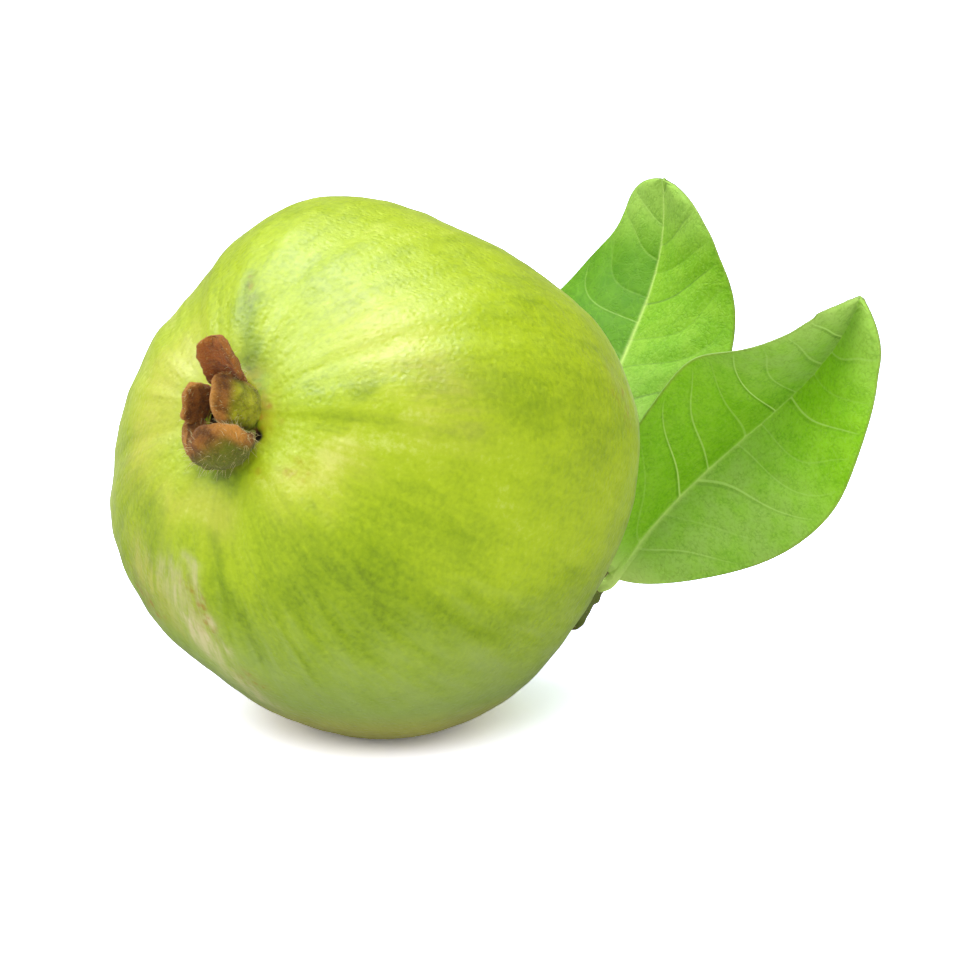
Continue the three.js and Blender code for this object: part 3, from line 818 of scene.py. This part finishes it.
def leaf_surface(leaf):
    """The upper face from left to right and the lower face back, in rows from the twig to the tip. A row
    is square to the midrib, turned by the roll; each half is raised by its fold, arched a little, and
    waved by a sine of the way along. The outline is the share of the way to the power of the base's
    fullness, times what is left to the power of the tip's, with bell-shaped changes at its margins. Side
    veins are where the share of the way, less their sweep, passes whole steps. Returns the rings of
    points, the middles of foot and tip, and the marks that the finish reads."""
    midrib = np.array(leaf["midrib"]) * mm
    petiole_way = unit(np.array(leaf["leaves_twig"], float))
    foot = twig_node + petiole_way * (node_radius - petiole_in_twig)
    base_way = unit(midrib[1] - midrib[0])
    reach = 0.55 * np.linalg.norm(midrib[0] - foot)
    petiole = [foot, foot + reach * petiole_way, midrib[0] - reach * base_way, midrib[0]]
    before, before_ways = bezier(petiole, np.linspace(0, 1, petiole_rows, endpoint=False))
    blade_share = (1 - np.cos(np.linspace(0, math.pi, blade_rows))) / 2
    after, after_ways = bezier(midrib, blade_share)
    centre = np.concatenate([before, after])
    tangent = np.concatenate([before_ways, after_ways])
    s = np.concatenate([np.zeros(petiole_rows), blade_share])[:, None]
    petiole_share = np.concatenate([np.ones(petiole_rows), np.clip(1 - 8 * blade_share, 0, 1)])[:, None]

    base, tip = leaf["fullness"]
    widest = base / (base + tip)
    outline = (s / widest) ** base * ((1 - s) / (1 - widest)) ** tip
    outline = outline * (1 + leaf["blunt"] * smooth_step(s, 0.9, 1))
    rib = petiole_radius * (1 - 0.78 * s)
    half_width = np.hypot(leaf["half_width"] * mm * outline, rib)
    spread = np.clip((half_width - rib) / (3 * rib), 0, 1)
    step = np.linspace(-1, 1, 2 * half_columns + 1)
    reach = half_width * np.ones_like(step)
    for margin_side, middle, length, change in leaf["margins"]:
        bump = change * bell(s - middle, length)
        reach = reach * (1 + bump * (np.sign(step) == margin_side))
    normal = unit(leaf_facing - (tangent @ leaf_facing)[:, None] * tangent)
    roll = np.interp(s, (0, 1), leaf["roll"])
    right = np.cross(tangent, normal) * np.cos(roll) + normal * np.sin(roll)
    up = np.cross(right, tangent)

    in_bar = reach * np.sin(math.pi / 2 * step)
    in_blade = reach * np.sign(step) * (0.35 * np.abs(step) + 0.65 * step**2)
    offset = in_bar + (in_blade - in_bar) * spread
    share = np.abs(offset) / reach
    left = np.interp(s, (0, 1), leaf["left_fold"])
    right_side = np.interp(s, (0, 1), leaf["right_fold"])
    fold = np.where(step < 0, -left, right_side) * spread
    way = np.cos(fold)[..., None] * right[:, None] + np.sin(fold)[..., None] * up[:, None]
    out = np.cos(fold)[..., None] * up[:, None] - np.sin(fold)[..., None] * right[:, None]
    height, count, start = leaf["wave"]
    wave = height * mm * spread * np.sin(2 * math.pi * count * s + start) * share**2
    arch = 0.05 * half_width * spread * np.sin(math.pi * share) + wave

    side = np.where(step < 0, 0.0, 0.35)
    sweep = (vein_sweep[0] * share + vein_sweep[1] * share**3) * outline
    drift = 0.012 * np.sin(9 * s + 5 * share + side) + 0.014 * np.sin(21 * s + 8 * side)
    vein_phase = (s - sweep + drift) * vein_pairs + side
    strength = 0.62 + 0.38 * np.cos(2.3 * np.round(vein_phase) + 12 * side + 1)
    past_vein = (vein_phase - np.round(vein_phase)) * vein_spacing
    in_blade_share = smooth_step(s, 0.02, 0.1) * (1 - smooth_step(share, 0.86, 0.98))
    vein = bell(past_vein, 0.45 * mm) * in_blade_share
    swell = 0.5 - 0.5 * np.cos(2 * math.pi * vein_phase)
    quilt = 0.3 * mm * swell * np.sin(math.pi * share) * in_blade_share * spread
    middle = centre[:, None] + offset[..., None] * way + (arch + quilt)[..., None] * out

    rib_height = np.sqrt(np.clip(rib**2 - offset**2, 0, None))
    edge_thin = 1 - 0.45 * smooth_step(share, 0.8, 1.0) * spread
    thick = blade_thickness / 2 * edge_thin
    groove = bell(offset, 0.55 * mm) * spread
    above = thick + 0.7 * petiole_share * rib_height + (0.12 * groove - 0.14 * vein) * mm
    below = thick + rib_height + 0.2 * vein * mm
    upper = middle + above[..., None] * out
    lower = middle - below[..., None] * out
    points = np.concatenate([upper, lower[:, ::-1]], axis=1)

    midrib_share = bell(offset, 0.55 * mm * (1.25 - 0.85 * s))

    def halves(name):
        """The left half's value and the right half's, at each point across."""
        return np.where(step < 0, *leaf[name]) + 0 * share

    # where the painted sheen of reflected light lies on each half
    left_sheen, right_sheen = (smooth_step(s, *ends) for ends in leaf["leaf_sheen_ends"])
    sheen_place = np.where(step < 0, left_sheen, 1 - right_sheen)
    veined = in_blade_share * (1 - 0.7 * share**2) * strength
    marks = dict(
        vein_phase=vein_phase,
        pale_veins=veined * halves("pale_veins"),
        # painted shade on the shaded side of the veins
        shaded_veins=veined * halves("shaded_veins"),
        midrib=np.maximum(midrib_share * (1 - 0.5 * s), petiole_share**2),
        margin=share,
        # painted sheen: greyer, standing for reflected light
        leaf_sheen=sheen_place * halves("leaf_sheen"),
        # painted shade: darker where the painted sheen is absent
        leaf_shade=(1 - sheen_place) * halves("leaf_shade"),
        # painted light: paler towards the tip, against the fold's shade
        tip=smooth_step(s, 0.78, 0.98) + 0 * share,
    )
    marks = {key: np.concatenate([value, value[:, ::-1]], axis=1) for key, value in marks.items()}
    marks["under"] = np.concatenate([0 * share, 0 * share + 1], axis=1)
    run = np.concatenate([[0], np.linalg.norm(np.diff(centre, axis=0), axis=1).cumsum()])
    flat = np.stack([offset, run[:, None] + 0 * offset, 0 * offset], axis=-1)
    marks["flat_place"] = np.concatenate([flat, flat[:, ::-1]], axis=1)
    return points, foot, centre[-1] + 0.5 * mm * tangent[-1], marks


def leaf_finish():
    """Leathery leaf: green in soft clouds and fine grain, greyer where a painted sheen stands for reflected
    light, darker on some halves as painted shade, and paler at the tip as painted light. Its midrib is pale;
    its side veins are pale by one stored share and dark by another, the dark ones and a band beside the pale
    ones being painted shade; a net of fine veins lies between them; it has a thin brown margin and a paler
    lower face."""
    material, tree, shader = new_finish("leaf_blade", Specular_IOR_Level=0.1)
    flat = reading(tree, "flat_place", "Vector")
    clouds = speckle(flat, 160.0)
    grain = speckle(flat, 1400.0, 3.0, 0.7)
    patchy = ramp(speckle(flat, 420.0, 2.0), 0.4, 0.62)
    wobble = node(tree, "ShaderNodeTexNoise", {"Vector": flat, "Scale": 500.0}).outputs["Color"]
    uneven = {0: wobble, 1: (1.6 * mm, 1.6 * mm, 0), 2: flat}
    flat = node(tree, "ShaderNodeVectorMath", uneven, operation="MULTIPLY_ADD").outputs["Vector"]
    net_lines = maths(ramp(cells(flat, 1150.0, "DISTANCE_TO_EDGE"), 0.02, 0.2, 0.7, 0.0), patchy)
    cross_veins = ramp(cells(flat, 340.0, "DISTANCE_TO_EDGE"), 0.01, 0.07, 1.0, 0.0)
    phase = reading(tree, "vein_phase")
    past = maths(phase, maths(phase, 0.0, "ROUND"), "SUBTRACT")
    past = maths(past, vein_spacing / mm)
    on_vein = ramp(maths(past, 0.0, "ABSOLUTE"), 0.08, 0.3, 1.0, 0.0)
    # painted shade in a band beside each vein
    vein_flank_shade = ramp(maths(maths(past, 0.5, "ADD"), 0.0, "ABSOLUTE"), 0.1, 0.45, 0.5, 0.0)
    pale = reading(tree, "pale_veins")
    # painted shade: dark veins, and the band beside the pale ones
    vein_shade = maths(on_vein, reading(tree, "shaded_veins"))
    vein_shade = maths(vein_shade, maths(vein_flank_shade, pale), "MAXIMUM")
    young = tinted(ramp(clouds, 0.3, 0.7), colour(134, 198, 20), colour(152, 212, 42))
    old = tinted(ramp(clouds, 0.3, 0.7), colour(121, 178, 26), colour(141, 191, 46))
    # painted shade on one half
    leaf_shade = maths(reading(tree, "leaf_shade"), ramp(clouds, 0.3, 0.7, 0.7, 1.0))
    # painted sheen of reflected light
    leaf_sheen = maths(reading(tree, "leaf_sheen"), ramp(clouds, 0.3, 0.65, 0.45, 0.9))
    painted(
        shader,
        old,
        (reading(tree, "young"), young),
        (ramp(grain, 0.5, 0.68, 0.0, 0.45), colour(156, 200, 84)),
        # painted shade
        (leaf_shade, colour(84, 141, 10)),
        # painted sheen of reflected light
        (leaf_sheen, colour(156, 192, 94)),
        # painted light at the tip
        (maths(reading(tree, "tip"), 0.6), colour(168, 202, 100)),
        (ramp(grain, 0.34, 0.52, 0.2, 0.0), colour(56, 102, 4)),
        (maths(net_lines, 0.3), colour(70, 130, 8)),
        (maths(cross_veins, 0.07), colour(160, 206, 84)),
        # painted shade on the veins
        (maths(vein_shade, 0.75), colour(52, 96, 14)),
        (maths(maths(on_vein, pale), 0.95), colour(198, 230, 126)),
        (maths(reading(tree, "midrib"), 0.9), colour(204, 230, 128)),
        (ramp(reading(tree, "margin"), 0.975, 0.995, 0.0, 0.5), colour(132, 150, 62)),
        (maths(reading(tree, "under"), 0.6), colour(150, 182, 112)),
    )
    gloss = ramp(grain, 0.3, 0.7, 0.52, 0.68)
    tree.links.new(gloss, shader.inputs["Roughness"])
    height = maths(maths(net_lines, -0.6), maths(grain, 0.5), "ADD")
    height = maths(height, maths(cross_veins, -0.25), "ADD")
    relief(height, 0.1 * mm, shader)
    return material


leaf_green = leaf_finish()
for leaf in leaves:
    points, foot, tip, marks = leaf_surface(leaf)
    piece = lofted_mesh(leaf["name"] + "_blade", points, foot, tip)
    field(piece, "flat_place", marks.pop("flat_place"), (0, 0, 0), (0, 0.08, 0))
    field(piece, "young", np.full(points.shape[:2], leaf["young"]), leaf["young"], leaf["young"])
    for name, values in marks.items():
        field(piece, name, values, values[0].mean(), values[-1].mean())
    piece.data.materials.append(leaf_green)
    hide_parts(leaf["name"])
    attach(piece, "root")

# ---- The studio ----
# A plain white floor in an all-white room, a large softbox over the fruit, a smaller one on its left, a
# soft fill in front, and two more lamps in the softboxes' places that only add to the sheen.
floor_half = 6.0
floor_mesh = bpy.data.meshes.new("floor")
floor_corners = [(x * floor_half, y * floor_half, 0) for x, y in ((-1, -1), (1, -1), (1, 1), (-1, 1))]
floor_mesh.from_pydata(floor_corners, [], [(0, 1, 2, 3)])
floor = placed("floor", floor_mesh)
floor_material, floor_tree, floor_shader = new_finish(
    "white_floor", Roughness=0.9, Specular_IOR_Level=0.0, Emission_Color=(1, 1, 1, 1)
)
floor_rays = node(floor_tree, "ShaderNodeLightPath", {}).outputs
floor_seen = floor_rays["Is Camera Ray"]
floor_glow = ramp(floor_seen, 0.0, 1.0, 0.0, 0.05)
floor_tree.links.new(floor_glow, floor_shader.inputs["Emission Strength"])
grey_in_sheen = (floor_rays["Is Glossy Ray"], (0.12, 0.12, 0.12, 1))
painted(floor_shader, (0.9, 0.9, 0.9, 1), grey_in_sheen, (floor_seen, (1, 1, 1, 1)))
overexposed = tinted(floor_seen, (0, 0, 0, 1), (1.15, 1.1, 1.7, 1))
overexposed = node(floor_tree, "ShaderNodeBsdfDiffuse", {"Color": overexposed}).outputs["BSDF"]
both = node(floor_tree, "ShaderNodeAddShader", {0: floor_shader.outputs["BSDF"], 1: overexposed})
floor_tree.links.new(both.outputs[0], floor_tree.nodes["Material Output"].inputs["Surface"])
floor_mesh.materials.append(floor_material)

room = bpy.data.worlds.new("white_room")
room.use_nodes = True
background = room.node_tree.nodes["Background"].inputs
background["Color"].default_value = (1, 1, 1, 1)
background["Strength"].default_value = 0.77
room.cycles_visibility.glossy = False
bpy.context.scene.world = room


def turned(right, up, back, place):
    """The matrix that turns an object's x, y and z axes to these ways and puts it at the place."""
    return Matrix(np.vstack([np.column_stack([right, up, back, place]), [0, 0, 0, 1]]).tolist())


lamp_over = (-0.08, -0.06, 1.0)  # ways from the fruit's centre
lamp_left = (-0.52, -0.45, 0.73)
lamp_front = (0.35, -0.7, 0.62)
for name, way, distance, width, depth, power, lights_skin, shows_in_sheen in [
    ("softbox_over", lamp_over, 0.8, 0.72, 0.3, 4.8, True, True),
    ("softbox_left", lamp_left, 0.9, 0.4, 0.3, 1.0, True, True),
    ("front_fill", lamp_front, 1.2, 0.6, 0.6, 3.0, True, False),
    ("shine_over", lamp_over, 0.8, 0.72, 0.34, 10.5, False, True),
    ("shine_left", lamp_left, 0.9, 0.6, 0.5, 12.0, False, True),
]:
    lamp = bpy.data.lights.new(name, "AREA")
    lamp.shape = "RECTANGLE"
    lamp.size = width
    lamp.size_y = depth
    lamp.energy = power
    from_fruit = unit(np.array(way, float)) * distance
    facing = unit(from_fruit)
    side = unit(np.cross((0, 0, 1), facing))
    light = placed(name, lamp)
    light.matrix_world = turned(side, np.cross(facing, side), facing, fruit_centre + from_fruit)
    light.visible_diffuse = lights_skin
    light.visible_glossy = shows_in_sheen

camera_azimuth = math.radians(33.4)
camera_elevation = math.radians(13)
camera_distance = 462.3 * mm
camera_back = np.array([
    math.sin(camera_azimuth) * math.cos(camera_elevation),
    -math.cos(camera_azimuth) * math.cos(camera_elevation),
    math.sin(camera_elevation),
])
camera_right = np.array([math.cos(camera_azimuth), math.sin(camera_azimuth), 0])
camera_up = np.cross(camera_back, camera_right)
camera_place = fruit_centre + 19.57 * mm * camera_right - 3.485 * mm * camera_up
camera_place = camera_place + camera_distance * camera_back
camera = placed("camera", bpy.data.cameras.new("camera"))
camera.data.lens = 100
camera.data.sensor_width = 36
camera.data.clip_start = 0.01
camera.data.clip_end = 50
camera.matrix_world = turned(camera_right, camera_up, camera_back, camera_place)
bpy.context.scene.camera = camera
bpy.context.scene.view_settings.view_transform = "Standard"
